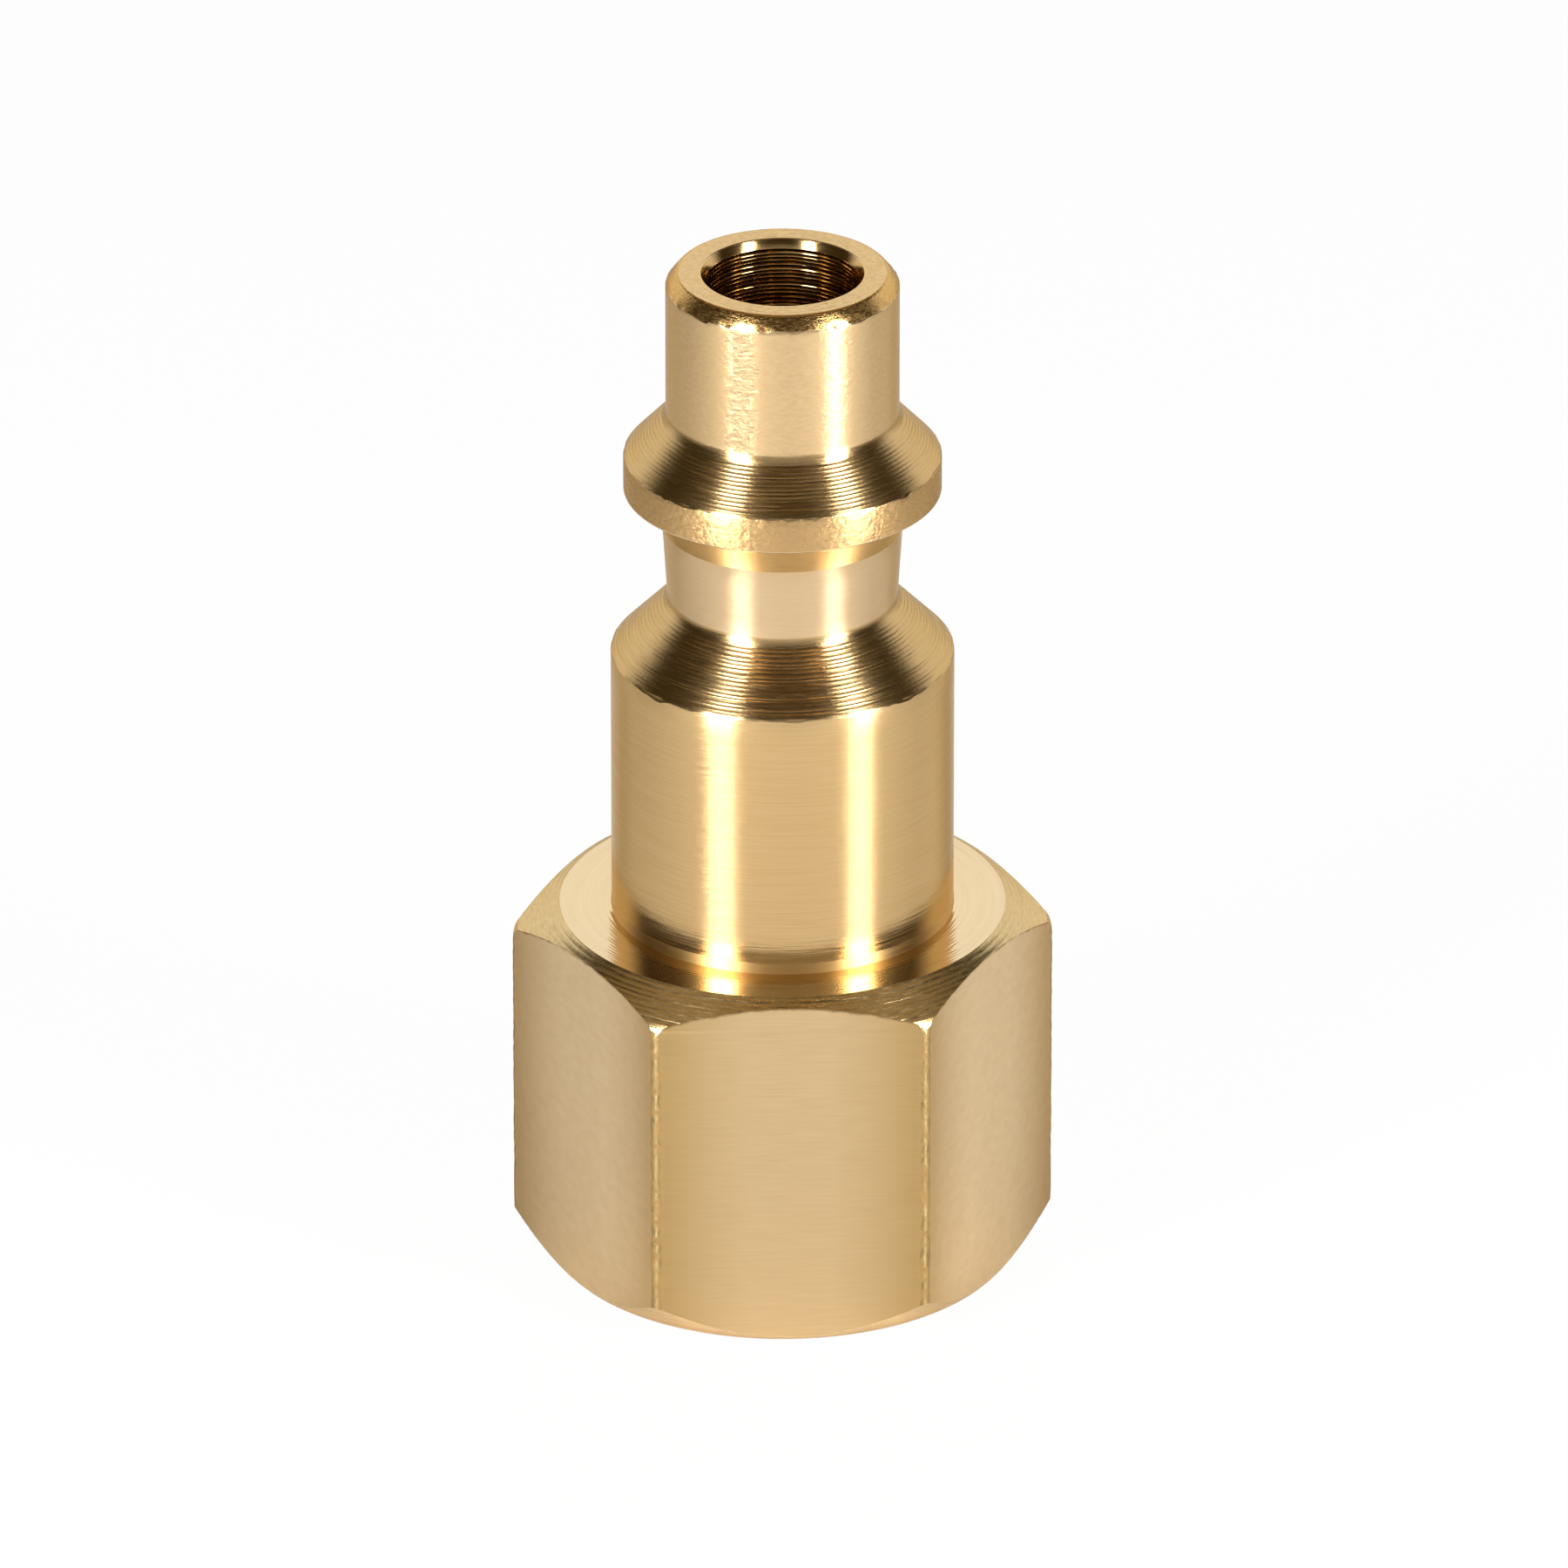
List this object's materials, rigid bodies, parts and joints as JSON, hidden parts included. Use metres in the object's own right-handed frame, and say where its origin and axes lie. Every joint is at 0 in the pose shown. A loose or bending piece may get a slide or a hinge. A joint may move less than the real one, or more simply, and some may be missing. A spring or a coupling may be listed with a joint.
{
  "type": "quick-connect air plug",
  "caption": "One-piece turned brass quick-connect air plug: ringed nose with ball groove, round shank and chamfered hexagon with a female pipe thread.",
  "frame": {"origin": "centre of the hexagon's end face, where the pipe screws in", "axes": "+Z along the axis of turning from the pipe end to the nose; one wrench flat faces -Y"},
  "size_m": [0.0182, 0.0158, 0.0359],
  "materials": {
    "brass": "bright turned, satin flats as drawn"
  },
  "bodies": {
    "root": {"plug_body": "brass"}
  },
  "joints": []
}
